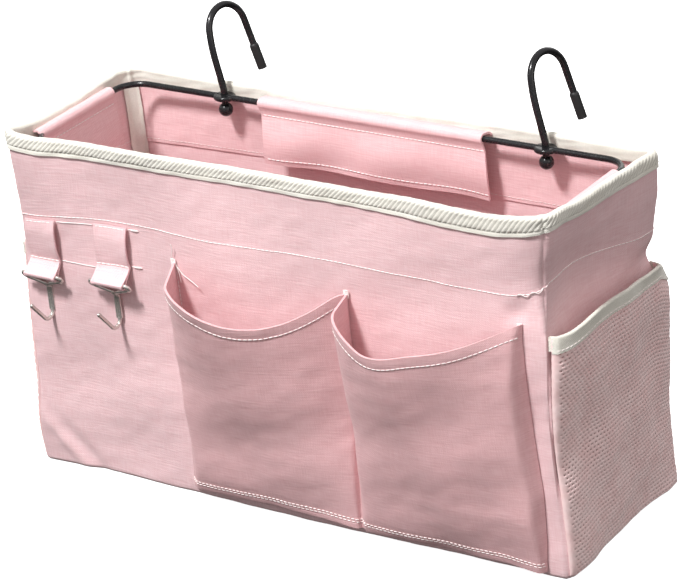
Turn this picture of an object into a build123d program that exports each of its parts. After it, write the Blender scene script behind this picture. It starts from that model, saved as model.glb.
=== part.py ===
from build123d import *
from math import cos, radians, sin
import os

os.makedirs("parts", exist_ok=True)

# An open fabric storage bag that hangs from a rail by two swivelling wire hooks. Its rim is
# held open by a wire frame that runs through four fabric sleeves. The front carries two
# bellows pockets and two fabric tabs with small chrome hooks, and each end has a mesh pocket.
#
# Millimetres. The origin is the centre of the underside, +X runs along the bag to the right
# as seen from its front, +Y points to the rail behind the bag, and +Z is up.

# ---- driving dimensions: the bag ----
HEIGHT = 223.5
RIM_LENGTH, RIM_DEPTH, RIM_CORNER = 394.0, 128.0, 24.0
BASE_LENGTH, BASE_DEPTH, SEAM_CORNER = 388.0, 132.0, 6.0
CORNER_START = 156.0  # the corners are sharp seams up to here, then open out to the rim
PANEL_THICK = 1.6
BOTTOM_THICK = 1.6
FACING_THICK = 0.8
BINDING_THICK = 0.8
BINDING_WIDTH = 8.5
HEM_HEIGHT = 176.0  # lower edge of the facing inside the rim
BOARD_THICK = 2.4
LINING_THICK = 0.8
BOARD_GAP = 1.0  # between the board and the walls
TAPE_WIDTH = 9.0
TAPE_LOW = 8.0

# ---- driving dimensions: the frame and its sleeves ----
FRAME_WIRE = 4.0
FRAME_INSET = 12.0  # from the outer face of the wall to the wire's centre
FRAME_HEIGHT = 217.5
FRAME_CORNER = 16.0
EYE_LENGTH, EYE_WIDTH, EYE_THICK = 15.0, 13.0, 3.2
EYE_ROUND = 1.2
PIN_PLAY = 0.1  # radial clearance of a hook's pin in its eye
SLEEVE_THICK = 0.8
SLEEVE_PLAY = 0.1
SLEEVE_LOW = 177.0
SLEEVE_GAP = 0.3  # between a sleeve's top edge and the binding
BACK_SLEEVE = (-80.0, 85.0)
FRONT_SLEEVE = (-80.0, 85.0)
END_SLEEVE = (-32.0, 32.0)

# ---- driving dimensions: the hanger hooks ----
HOOK_X = {"left": -109.5, "right": 126.5}
HOOK_TWIST = 8.0  # the mouth turns this far from +Y towards +X
HOOK_WIRE = 4.5
BALL_SIZE = 9.2
BALL_DROP = 8.5  # ball centre below the wire frame's centre
PIN_RISE = 4.0
LEAN, LEAN_RADIUS = 14.0, 8.0  # sideways lean above the eye
SHANK_RUN = 18.0
BACK_RADIUS, BACK_TURN = 90.0, 12.0
CROWN_RADIUS, CROWN_TURN = 16.0, 162.0
TAIL_RUN = 33.0
CAP_SIZE, CAP_LENGTH, CAP_END = 6.0, 18.0, 1.5

# ---- driving dimensions: the front pockets ----
POCKET_THICK = 1.2
POCKET_SEAMS = (-73.0, 54.0, 175.0)
SEAM_FLAT = 3.0  # flat strip stitched down each side of a seam
POCKET_LOW, POCKET_HIGH = 3.0, 158.0
POCKET_DIP = 16.0  # the mouth's front edge is this much lower than its seams
GUSSET_DEPTH, BELLY_DEPTH = 22.0, 36.0
FOOT_GUSSET, FOOT_BELLY = 2.6, 4.0
GUSSET_SHIFT = 7.0  # the gusset's front edge stands in from its seam

# ---- driving dimensions: the mesh pockets ----
MESH_THICK = 1.2
MESH_LOW, MESH_HIGH = 2.0, 153.0
MESH_HALF = 61.0
MESH_BULGE, MESH_FOOT = 13.0, 2.5
MESH_BINDING_WIDTH = 9.0
BINDING_GAP = 0.1

# ---- driving dimensions: the tabs and the wire hooks ----
TAB_WIDTH, TAB_THICK = 24.4, 2.0
TABS = {"left": (-173.0, 136.0), "right": (-119.5, 139.5)}  # x and height of the wire's bar
TAB_RISE = 34.5  # from the bar to the tab's top edge
TAB_STITCH = 9.5  # from the bar to the stitch that closes the loop
TAB_STAND = 9.0  # from the wall to the bar
LOOP_PLAY, LOOP_CLOTH = 0.3, 1.0
WIRE = 2.6
BAR_HALF, BAR_CORNER = 12.6, 2.4
SLOPE = 22.0  # of the triangle's lower sides
EYE_LEAN = 33.0  # the triangle leans towards the wall
SHANK_SPREAD = 1.1  # half the distance between the shank's two wires
SHANK_BEND = 3.0
EYE_BEND = 5.0  # where the leaning triangle turns into the upright shank
SHANK_LENGTH = 14.0
JAY_RADIUS, JAY_TURN, JAY_TAIL = 4.8, 140.0, 17.4

# ---- worked out ----
PANEL_TOP = HEIGHT - BINDING_THICK
BINDING_LOW = HEIGHT - BINDING_WIDTH
FACING_INNER = PANEL_THICK + FACING_THICK
BINDING_INNER = FACING_INNER + BINDING_THICK
HIP = (BASE_LENGTH - BASE_DEPTH) / 2  # where the 45 degree corner planes meet
FRAME_LENGTH = RIM_LENGTH - 2 * FRAME_INSET
FRAME_DEPTH = RIM_DEPTH - 2 * FRAME_INSET
WALL_SHARES = {
    "front_panel": [(-HIP, 0), (-2 * HIP, -HIP), (2 * HIP, -HIP), (HIP, 0)],
    "back_panel": [(-HIP, 0), (HIP, 0), (2 * HIP, HIP), (-2 * HIP, HIP)],
    "left_panel": [(-HIP, 0), (-2 * HIP, HIP), (-2 * HIP, -HIP)],
    "right_panel": [(HIP, 0), (2 * HIP, -HIP), (2 * HIP, HIP)],
}
CORNERS = {
    "front_left": (-1, -1),
    "front_right": (1, -1),
    "back_left": (-1, 1),
    "back_right": (1, 1),
}


def between(low, high, share):
    """The value a share of the way from low to high."""
    return low + (high - low) * share


def outline(height, inset=0.0):
    """The bag's plan at a height, drawn in by inset."""
    share = height / HEIGHT
    opening = max(0.0, height - CORNER_START) / (HEIGHT - CORNER_START)
    with BuildSketch(Plane.XY.offset(height)) as plan:
        RectangleRounded(
            between(BASE_LENGTH, RIM_LENGTH, share) - 2 * inset,
            between(BASE_DEPTH, RIM_DEPTH, share) - 2 * inset,
            between(SEAM_CORNER, RIM_CORNER, opening) - inset,
        )
    return plan.sketch


def bag_form(low, high, inset=0.0, mode=Mode.ADD):
    """The bag's form between two heights, as a loft through its plans."""
    heights = [low, CORNER_START, high] if low < CORNER_START < high else [low, high]
    loft([outline(height, inset) for height in heights], ruled=True, mode=mode)


def front_wall(height):
    """Y of the front wall's outer face at a height."""
    return -between(BASE_DEPTH, RIM_DEPTH, height / HEIGHT) / 2


def end_wall(height):
    """X of the right wall's outer face at a height."""
    return between(BASE_LENGTH, RIM_LENGTH, height / HEIGHT) / 2


def write(part, name):
    """Label a finished piece and write its STEP file."""
    part.label = name
    export_step(part, f"parts/{name}.step")


# ---- the bottom: outer cloth, stiffening board and lining ----
with BuildPart() as bottom_panel:
    bag_form(0, BOTTOM_THICK)
write(bottom_panel.part, "bottom_panel")

with BuildPart() as base_board:
    board_top = BOTTOM_THICK + BOARD_THICK
    bag_form(BOTTOM_THICK, board_top, PANEL_THICK + BOARD_GAP)
write(base_board.part, "base_board")

with BuildPart() as bottom_lining:
    bag_form(board_top, board_top + LINING_THICK, PANEL_THICK)
write(bottom_lining.part, "bottom_lining")

# ---- the four walls, which meet at the corner seams ----
for name, share_corners in WALL_SHARES.items():
    with BuildPart() as wall:
        bag_form(BOTTOM_THICK, PANEL_TOP)
        bag_form(BOTTOM_THICK, PANEL_TOP, PANEL_THICK, mode=Mode.SUBTRACT)
        with BuildSketch():
            Polygon(*share_corners, align=None)
        extrude(amount=HEIGHT, mode=Mode.INTERSECT)
    write(wall.part, name)

# ---- the facing inside the rim and the binding that wraps the rim's edge ----
with BuildPart() as top_facing:
    bag_form(HEM_HEIGHT, PANEL_TOP, PANEL_THICK)
    bag_form(HEM_HEIGHT, PANEL_TOP, FACING_INNER, mode=Mode.SUBTRACT)
write(top_facing.part, "top_facing")

with BuildPart() as rim_edge:  # the cloth that the binding wraps
    bag_form(BINDING_LOW, PANEL_TOP)
    bag_form(BINDING_LOW, PANEL_TOP, FACING_INNER, mode=Mode.SUBTRACT)

with BuildPart() as rim_binding:
    bag_form(BINDING_LOW, HEIGHT, -BINDING_THICK)
    bag_form(BINDING_LOW, HEIGHT, BINDING_INNER, mode=Mode.SUBTRACT)
    add(rim_edge.part, mode=Mode.SUBTRACT)
write(rim_binding.part, "rim_binding")

# ---- the tapes over the four corner seams, inside ----
for name, (side, front) in CORNERS.items():
    with BuildPart() as corner_tape:
        bag_form(TAPE_LOW, HEM_HEIGHT, PANEL_THICK)
        bag_form(HEM_HEIGHT, BINDING_LOW, FACING_INNER)
        bag_form(TAPE_LOW, BINDING_LOW, BINDING_INNER, mode=Mode.SUBTRACT)
        with BuildSketch(Plane(origin=(side * HIP, 0, 0), x_dir=(side, front, 0), z_dir=(0, 0, 1))):
            Rectangle(BASE_LENGTH, TAPE_WIDTH, align=(Align.MIN, Align.CENTER))
        extrude(amount=HEIGHT, mode=Mode.INTERSECT)
    write(corner_tape.part, f"corner_tape_{name}")

# ---- the wire frame: a rounded rectangle with two flattened eyes in its back run ----
ROD_Y = FRAME_DEPTH / 2
with BuildSketch(Plane.XY.offset(FRAME_HEIGHT)) as frame_plan:
    RectangleRounded(FRAME_LENGTH, FRAME_DEPTH, FRAME_CORNER)
frame_run = frame_plan.sketch.face().outer_wire()

with BuildPart() as wire_frame:
    with BuildSketch(Plane.XY.offset(FRAME_HEIGHT - EYE_THICK / 2)):
        with Locations(*[(x, ROD_Y) for x in HOOK_X.values()]):
            Ellipse(EYE_LENGTH / 2, EYE_WIDTH / 2)
    extrude(amount=EYE_THICK)
    fillet(wire_frame.edges().filter_by(GeomType.ELLIPSE), EYE_ROUND)
    with BuildSketch(Plane(origin=frame_run @ 0, z_dir=frame_run % 0)):
        Circle(FRAME_WIRE / 2)
    sweep(path=frame_run)
    with Locations(*[(x, ROD_Y, FRAME_HEIGHT + FRAME_WIRE) for x in HOOK_X.values()]):
        Hole(HOOK_WIRE / 2 + PIN_PLAY, depth=2 * FRAME_WIRE)
write(wire_frame.part, "wire_frame")


# ---- the sleeves: folded strips stitched round the frame, hanging inside each wall ----
def sleeve_profile(plane):
    """A sleeve's section: local x points to the wall, local y up, and the wire is at 0, 0."""
    bore = FRAME_WIRE / 2 + SLEEVE_PLAY
    skin = bore + SLEEVE_THICK
    to_wall = FRAME_INSET - BINDING_INNER - SLEEVE_GAP
    with BuildSketch(plane) as profile:
        Circle(skin)
        with BuildLine():
            Polyline(
                (0, skin - 2 * SLEEVE_THICK),
                (to_wall, skin - 2 * SLEEVE_THICK),
                (to_wall, skin),
                (0, skin),
                close=True,
            )
        make_face()
        with Locations((0, SLEEVE_LOW - FRAME_HEIGHT)):
            Rectangle(2 * SLEEVE_THICK, FRAME_HEIGHT - SLEEVE_LOW, align=(Align.CENTER, Align.MIN))
        Circle(bore, mode=Mode.SUBTRACT)
    return profile.sketch


ROD_X = FRAME_LENGTH / 2
SLEEVES = {
    # name: (a point on the wire at the sleeve's start, direction to the wall, run along the wall)
    "back_sleeve": ((BACK_SLEEVE[0], ROD_Y), (0, 1, 0), (1, 0, 0), BACK_SLEEVE),
    "front_sleeve": ((FRONT_SLEEVE[1], -ROD_Y), (0, -1, 0), (-1, 0, 0), FRONT_SLEEVE),
    "left_sleeve": ((-ROD_X, END_SLEEVE[0]), (-1, 0, 0), (0, 1, 0), END_SLEEVE),
    "right_sleeve": ((ROD_X, END_SLEEVE[1]), (1, 0, 0), (0, -1, 0), END_SLEEVE),
}
for name, (start, outward, along, span) in SLEEVES.items():
    with BuildPart() as sleeve:
        extrude(
            sleeve_profile(Plane(origin=(*start, FRAME_HEIGHT), x_dir=outward, z_dir=along)),
            amount=span[1] - span[0],
        )
    write(sleeve.part, name)


# ---- the front pockets: one strip, stitched down at three seams ----
def pocket_plan(height, left, right, gusset, belly, shift, inset=0.0):
    """One pocket's plan at a height: two gussets and a bowed front, drawn in by inset."""
    wall = front_wall(height)
    left_foot, right_foot = left + inset, right - inset
    left_edge, right_edge = left + shift + inset, right - shift - inset
    with BuildSketch(Plane.XY.offset(height)) as plan:
        with BuildLine():
            Line((right_foot, wall), (left_foot, wall))
            Line((left_foot, wall), (left_edge, wall - gusset + inset))
            ThreePointArc(
                (left_edge, wall - gusset + inset),
                ((left + right) / 2, wall - belly + inset),
                (right_edge, wall - gusset + inset),
            )
            Line((right_edge, wall - gusset + inset), (right_foot, wall))
        make_face()
    return plan.sketch


with BuildPart() as front_pocket_strip:
    pockets = [(a + SEAM_FLAT, b - SEAM_FLAT) for a, b in zip(POCKET_SEAMS, POCKET_SEAMS[1:])]
    for left, right in pockets:
        foot = pocket_plan(POCKET_LOW, left, right, FOOT_GUSSET, FOOT_BELLY, 1.0)
        mouth = pocket_plan(POCKET_HIGH, left, right, GUSSET_DEPTH, BELLY_DEPTH, GUSSET_SHIFT)
        loft([foot, mouth], ruled=True)
    with BuildSketch(Plane.YZ.offset(POCKET_SEAMS[0] - SEAM_FLAT)):
        with BuildLine():
            Polyline(
                (front_wall(POCKET_LOW), POCKET_LOW),
                (front_wall(POCKET_HIGH), POCKET_HIGH),
                (front_wall(POCKET_HIGH) - POCKET_THICK, POCKET_HIGH),
                (front_wall(POCKET_LOW) - POCKET_THICK, POCKET_LOW),
                close=True,
            )
        make_face()
    extrude(amount=POCKET_SEAMS[-1] - POCKET_SEAMS[0] + 2 * SEAM_FLAT)
    for left, right in pockets:
        rise = POCKET_LOW + POCKET_THICK
        hollow = dict(left=left, right=right, inset=POCKET_THICK)
        foot = pocket_plan(rise, gusset=FOOT_GUSSET, belly=FOOT_BELLY, shift=1.0, **hollow)
        mouth = pocket_plan(
            POCKET_HIGH, gusset=GUSSET_DEPTH, belly=BELLY_DEPTH, shift=GUSSET_SHIFT, **hollow
        )
        loft([foot, mouth], ruled=True, mode=Mode.SUBTRACT)
    dip_plane = Plane(
        origin=(0, front_wall(POCKET_HIGH), POCKET_HIGH),
        x_dir=(1, 0, 0),
        z_dir=(0, -POCKET_DIP, BELLY_DEPTH),
    )
    split(bisect_by=dip_plane, keep=Keep.BOTTOM)
write(front_pocket_strip.part, "front_pocket_strip")


# ---- the mesh pockets on the two ends, with bound mouths ----
def mesh_plan(side, height, grow=0.0):
    """A mesh pocket's plan at a height: a bow standing off the end wall, grown by grow."""
    share = (height - MESH_LOW) / (MESH_HIGH - MESH_LOW)
    wall = side * end_wall(height)
    half = MESH_HALF + grow
    bow = wall + side * (between(MESH_FOOT, MESH_BULGE, share) + grow)
    step = side * 2 * MESH_THICK + side * grow  # the sewn edge stands this far off the wall
    with BuildSketch(Plane.XY.offset(height)) as plan:
        with BuildLine():
            Line((wall, half), (wall, -half))
            Line((wall, -half), (wall + step, -half))
            ThreePointArc((wall + step, -half), (bow, 0), (wall + step, half))
            Line((wall + step, half), (wall, half))
        make_face()
    return plan.sketch


def mesh_form(side, low, high, grow=0.0, mode=Mode.ADD):
    """A mesh pocket's form between two heights."""
    loft([mesh_plan(side, low, grow), mesh_plan(side, high, grow)], ruled=True, mode=mode)


for name, side in {"left": -1, "right": 1}.items():
    binding_low = MESH_HIGH - MESH_BINDING_WIDTH
    with BuildPart() as mesh_pocket:
        mesh_form(side, MESH_LOW, MESH_HIGH)
        mesh_form(side, MESH_LOW + MESH_THICK, MESH_HIGH, -MESH_THICK, mode=Mode.SUBTRACT)
    write(mesh_pocket.part, f"mesh_pocket_{name}")

    with BuildPart() as mesh_binding:
        mesh_form(side, binding_low, MESH_HIGH, BINDING_THICK)
        mesh_form(side, binding_low, MESH_HIGH, BINDING_GAP, mode=Mode.SUBTRACT)
    write(mesh_binding.part, f"mesh_binding_{name}")


# ---- the tabs and their wire hooks, which swing on the bar in the tab's loop ----
def tab_profile(plane, bar_y, bar_z):
    """A tab's section: flat on the wall above, one loop round the bar below."""
    skin = WIRE / 2 + LOOP_PLAY + LOOP_CLOTH
    stitch, top = bar_z + TAB_STITCH, bar_z + TAB_RISE
    with BuildSketch(plane) as profile:
        with BuildLine():
            Polyline(
                (front_wall(top), top),
                (front_wall(top) - TAB_THICK, top),
                (front_wall(stitch) - TAB_THICK, stitch),
                (bar_y - skin, bar_z),
                (bar_y + skin, bar_z),
                (front_wall(stitch), stitch),
                close=True,
            )
        make_face()
        with Locations((bar_y, bar_z)):
            Circle(skin)
            Circle(skin - LOOP_CLOTH, mode=Mode.SUBTRACT)
    return profile.sketch


for name, (tab_x, bar_z) in TABS.items():
    bar_y = front_wall(bar_z) - TAB_STAND
    with BuildPart() as hook_tab:
        extrude(
            tab_profile(Plane.YZ.offset(tab_x - TAB_WIDTH / 2), bar_y, bar_z), amount=TAB_WIDTH
        )
    write(hook_tab.part, f"hook_tab_{name}")

    lean = radians(EYE_LEAN)
    eye_out = Vector(0, -cos(lean), -sin(lean))
    bar_centre = Vector(tab_x, bar_y, bar_z)
    eye_plane = Plane(origin=bar_centre, x_dir=(1, 0, 0), z_dir=eye_out)
    with BuildPart() as wire_hook:
        for side in (-1, 1):
            # Half the eye: from the bar's middle round a corner to the neck, in a leaning plane.
            with BuildLine(eye_plane) as half_eye:
                bar = Line((0, 0), (side * BAR_HALF, 0))
                corner = JernArc(bar @ 1, bar % 1, BAR_CORNER, -side * (180 - SLOPE))
                across = abs((corner @ 1).X - tab_x) - SHANK_SPREAD
                across -= SHANK_BEND * (1 - sin(radians(SLOPE)))
                run = across / cos(radians(SLOPE))
                slope = Line(corner @ 1, (corner @ 1) + (corner % 1) * run)
                neck = JernArc(slope @ 1, slope % 1, SHANK_BEND, side * (90 - SLOPE))
            # Then a bend into the upright shank.
            with BuildLine(Plane(origin=neck @ 1, x_dir=(0, 1, 0), z_dir=(1, 0, 0))) as upright:
                bend = JernArc((0, 0), (sin(lean), -cos(lean)), EYE_BEND, -EYE_LEAN)
                shank = Line(bend @ 1, (bend @ 1) + (bend % 1) * SHANK_LENGTH)
            for path in (half_eye, upright):
                with BuildSketch(Plane(origin=path.wire() @ 0, z_dir=path.wire() % 0)):
                    Circle(WIRE / 2)
                sweep(path=path.wire())
        shank_foot = Vector(tab_x, (shank @ 1).Y, (shank @ 1).Z)
        with BuildLine(Plane(origin=shank_foot, x_dir=(0, -1, 0), z_dir=(-1, 0, 0))) as jay:
            bend = JernArc((0, 0), (0, -1), JAY_RADIUS, JAY_TURN)
            tip = Line(bend @ 1, (bend @ 1) + (bend % 1) * JAY_TAIL)
        with BuildSketch(Plane(origin=shank_foot, z_dir=(0, 0, -1))):
            Circle(WIRE / 2)
        sweep(path=jay.wire())
        with Locations(shank_foot, tip @ 1):
            Sphere(WIRE / 2)
    write(wire_hook.part, f"wire_hook_{name}")

# ---- the hanger hooks: pin and ball in the frame's eye, capped tail behind the rim ----
for name, hook_x in HOOK_X.items():
    twist = radians(HOOK_TWIST)
    mouth = Vector(sin(twist), cos(twist), 0)
    sideways = Vector(-cos(twist), sin(twist), 0)
    eye = Vector(hook_x, ROD_Y, FRAME_HEIGHT)
    ball_centre = eye - Vector(0, 0, BALL_DROP)
    pin_top = eye + Vector(0, 0, PIN_RISE)
    with BuildLine(Plane(origin=pin_top, x_dir=sideways, z_dir=sideways.cross(Vector(0, 0, 1)))) as pin:
        stem = Line(ball_centre, pin_top)
        side_bend = JernArc(stem @ 1, stem % 1, LEAN_RADIUS, -LEAN)
    with BuildLine(Plane(origin=side_bend @ 1, x_dir=mouth, z_dir=mouth.cross(side_bend % 1))) as curve:
        shank = Line((0, 0), (0, SHANK_RUN))
        back = JernArc(shank @ 1, shank % 1, BACK_RADIUS, -BACK_TURN)
        crown = JernArc(back @ 1, back % 1, CROWN_RADIUS, -CROWN_TURN)
        tail = Line(crown @ 1, (crown @ 1) + (crown % 1) * TAIL_RUN)

    with BuildPart() as hanger_hook:
        for path in (pin, curve):
            with BuildSketch(Plane(origin=path.wire() @ 0, z_dir=path.wire() % 0)):
                Circle(HOOK_WIRE / 2)
            sweep(path=path.wire())
        with Locations(curve.wire() @ 0):
            Sphere(HOOK_WIRE / 2)
    write(hanger_hook.part, f"hanger_hook_{name}")

    with BuildPart() as hook_ball:
        with Locations(ball_centre):
            Sphere(BALL_SIZE / 2)
        with BuildSketch(Plane(origin=ball_centre)):
            Circle(HOOK_WIRE / 2)
        extrude(amount=BALL_SIZE, mode=Mode.SUBTRACT)
    write(hook_ball.part, f"hook_ball_{name}")

    with BuildPart() as hook_cap:
        cap_mouth = (tail @ 1) - (tail % 1) * (CAP_LENGTH - CAP_END)
        with BuildSketch(Plane(origin=cap_mouth, z_dir=tail % 1)):
            Circle(CAP_SIZE / 2)
        extrude(amount=CAP_LENGTH)
        fillet(hook_cap.edges().sort_by(SortBy.DISTANCE, reverse=True)[0], CAP_SIZE / 2 - 0.4)
        with BuildSketch(Plane(origin=cap_mouth, z_dir=tail % 1)):
            Circle(HOOK_WIRE / 2)
        extrude(amount=CAP_LENGTH - CAP_END, mode=Mode.SUBTRACT)
    write(hook_cap.part, f"hook_cap_{name}")
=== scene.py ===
import math

import bpy
import numpy as np
from mathutils import Matrix, Vector


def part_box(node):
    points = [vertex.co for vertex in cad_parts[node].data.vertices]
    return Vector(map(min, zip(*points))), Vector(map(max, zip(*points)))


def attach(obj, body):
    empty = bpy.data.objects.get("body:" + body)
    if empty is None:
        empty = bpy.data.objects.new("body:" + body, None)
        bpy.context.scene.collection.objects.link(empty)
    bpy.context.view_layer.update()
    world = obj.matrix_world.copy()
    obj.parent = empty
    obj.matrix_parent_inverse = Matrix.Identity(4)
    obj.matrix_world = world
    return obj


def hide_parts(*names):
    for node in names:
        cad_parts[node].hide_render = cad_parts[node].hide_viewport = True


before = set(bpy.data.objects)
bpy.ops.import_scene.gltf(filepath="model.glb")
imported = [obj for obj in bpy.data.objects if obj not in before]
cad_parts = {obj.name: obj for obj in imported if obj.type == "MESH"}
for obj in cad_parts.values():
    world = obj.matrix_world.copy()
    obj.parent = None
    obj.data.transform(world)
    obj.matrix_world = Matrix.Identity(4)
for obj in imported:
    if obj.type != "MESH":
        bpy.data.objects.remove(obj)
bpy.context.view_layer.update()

# Looks for an open fabric storage bag. Lengths are millimetres until a mesh is made.
# +X runs along the bag, +Y points to the rail behind it, +Z is up.
MM = 0.001
TURN = 2 * math.pi
EIGHTH = TURN / 8
UP = np.array([0.0, 0.0, 1.0])


# ---- camera ----
def way_to(azimuth, elevation):
    """The direction from the bag to what stands at an azimuth and elevation in degrees."""
    a, e = math.radians(azimuth), math.radians(elevation)
    return Vector((math.sin(a) * math.cos(e), -math.cos(a) * math.cos(e), math.sin(e)))


def make_camera(place, azimuth, elevation, roll, lens):
    """A camera at a place, turned to look from an azimuth and elevation in degrees."""
    level = (-way_to(azimuth, elevation)).to_track_quat("-Z", "Y").to_matrix()
    turn = level @ Matrix.Rotation(math.radians(roll), 3, "Z")
    camera = bpy.data.objects.new("camera", bpy.data.cameras.new("camera"))
    bpy.context.scene.collection.objects.link(camera)
    camera.matrix_world = Matrix.Translation(place) @ turn.to_4x4()
    camera.data.sensor_width = 36.0
    camera.data.lens = lens
    camera.data.clip_start, camera.data.clip_end = 0.05, 50.0
    bpy.context.scene.camera = camera


bpy.context.scene.view_settings.view_transform = "Standard"
make_camera((1.1555, -1.5986, 1.0241), 35.806, 24.552, -5.668, 186.14)


# ---- the bag's form ----
def node_box(node):
    """A CAD node's lowest and highest corners in millimetres."""
    low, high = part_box(node)
    return np.array(low) / MM, np.array(high) / MM


BASE = node_box("bottom_panel")[1]  # half length and half depth at the bottom
RIM = node_box("front_panel")[1]  # half length at the rim, and the wall's top
RIM_NARROWS = 2.0  # how much less the half depth is at the rim than at the bottom
RIM_DEEP = node_box("back_panel")[1][1] - RIM_NARROWS
WALL_TOP = RIM[2]
HEM = node_box("top_facing")[0][2]
HIP = BASE[0] - BASE[1]  # half length of the line where the bottom's corner slopes would meet
CLOTH = 1.2
FACING = 0.8
FOOT_ROUND = 3.0
FOOT_CURL = 0.98  # less than 1, so that the rounded foot never turns quite flat
LOWEST = 0.4  # no cloth's middle is lower than this
SEAM_DIP, SEAM_DIP_WIDE = 0.7, 1.1
SEAM_SWELL, SEAM_SWELL_AT, SEAM_SWELL_WIDE = 0.15, 3.0, 1.6
SHARP_TO, SHARP = 150.0, 3.0  # the corners are sharp seams up to this height
OPEN_AT = 178.0
OPEN_ROUND = {"front_left": 5.0, "front_right": 12.0, "back_right": 8.0, "back_left": 13.0}
RIM_ROUND = {"front_left": 8.0, "front_right": 16.0, "back_right": 10.0, "back_left": 18.0}
WALLS = {
    # name: (along the wall, out of it, corner where it starts, corner where it ends)
    "front": ((1, 0, 0), (0, -1, 0), "front_left", "front_right"),
    "right": ((0, 1, 0), (1, 0, 0), "front_right", "back_right"),
    "back": ((-1, 0, 0), (0, 1, 0), "back_right", "back_left"),
    "left": ((0, -1, 0), (-1, 0, 0), "back_left", "front_left"),
}
LONG_WALLS = ("front", "back")
SIGNS = {
    "front_left": (-1, -1), "front_right": (1, -1), "back_right": (1, 1), "back_left": (-1, 1)
}


def smooth(x, low, high):
    """0 up to low and 1 from high on, with a soft step between."""
    t = np.clip((np.asarray(x, float) - low) / (high - low), 0, 1)
    return t * t * (3 - 2 * t)


def bell(x, width):
    return np.exp(-((np.asarray(x, float) / width) ** 2))


def hump(a, b, size, middle, spread):
    """A smooth hump over two coordinates, with its middle and its spread in each."""
    return size * bell(a - middle[0], spread[0]) * bell(b - middle[1], spread[1])


def ripples(seed, count, short, long):
    """A smooth random field of two coordinates, about -1 to 1, with wavelengths in mm."""
    draw = np.random.default_rng(seed)
    turn = draw.uniform(0, TURN, count)
    waves = TURN / draw.uniform(short, long, count)
    phase = draw.uniform(0, TURN, count)

    def field(a, b):
        total = 0.0
        for t, w, p in zip(turn, waves, phase):
            total = total + np.sin(w * (a * math.cos(t) + b * math.sin(t)) + p)
        return total / math.sqrt(count)

    return field


SLOW = ripples(3, 7, 70, 170)
MID = ripples(5, 9, 26, 60)
FINE = ripples(8, 12, 9, 22)


def half_length(z):
    return np.interp(z, [0, WALL_TOP], [BASE[0], RIM[0]])


def half_depth(z):
    return np.interp(z, [0, WALL_TOP], [BASE[1], RIM_DEEP])


def half_of(wall, z):
    """Half a wall's length at a height."""
    return half_length(z) if wall in LONG_WALLS else half_depth(z)


def reach_of(wall, z):
    """A wall's distance from the bag's middle at a height."""
    return half_depth(z) if wall in LONG_WALLS else half_length(z)


def corner_radius(corner, z):
    return np.interp(
        z, [0, SHARP_TO, OPEN_AT, WALL_TOP], [SHARP, SHARP, OPEN_ROUND[corner], RIM_ROUND[corner]]
    )


# How far each corner's cloth strays from the plain form, as bells: the bell's height, its
# spread in height, its reach along the walls, and the move along x, y and z.
STRAY = {
    "front_left": [
        (221, 30, 34, 1.0, -5.5, 1.0),
        (221, 30, 20, 0.0, 0.0, 5.5),
        (182, 30, 34, 1.0, -1.0, -5.0),
        (60, 22, 34, 3.0, 0.0, 0.0),
        (90, 40, 34, 0.0, -3.0, 0.0),
        (20, 40, 34, 0.0, -4.5, 0.0),
    ],
    "front_right": [
        (216, 20, 20, 1.5, 2.5, 3.0),
        (176, 26, 18, -3.5, 5.5, 3.0),
        (100, 45, 34, -3.0, 0.0, 0.0),
        (8, 30, 34, 3.0, -2.0, 0.0),
    ],
    "back_right": [
        (214, 32, 34, 8.0, 1.0, 0.0),
        (155, 13, 30, -9.0, 0.0, 0.0),
        (178, 18, 50, 0.0, -1.5, -3.5),
        (20, 30, 34, 1.5, 0.0, 0.0),
    ],
    "back_left": [(221, 24, 34, -3.5, 0.5, 0.0), (178, 24, 40, 0.0, -2.0, -2.0)],
}

# Humps of the walls' cloth: the size, then the middle and the spread, each along the wall and
# in height.
FRONT_BELLY = (4.5, (10, 0), (150, 45))
FRONT_PUCKER = (-2.0, (172, 166), (9, 7))
FRONT_HEM_RISE = (2.2, (70, 176), (70, 25))
RIGHT_SAG = (-10.0, (-24, 166), (42, 30))
RIGHT_LIFT = (6.5, (-24, 178), (45, 20))
RIGHT_RIM_RISE = (3.5, (-44, 218), (20, 14))
LEFT_SAG = (-3.0, (0, 165), (50, 30))
CREASE_HIGH, CREASE_TALL, CREASE_SLANT = 14, 18, 0.9


def crease(x, z, start, width):
    """A slanting fold low on the front's left, at a distance along the wall."""
    high = z - CREASE_HIGH
    return bell(x - start + CREASE_SLANT * high, width) * bell(high, CREASE_TALL)


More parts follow.
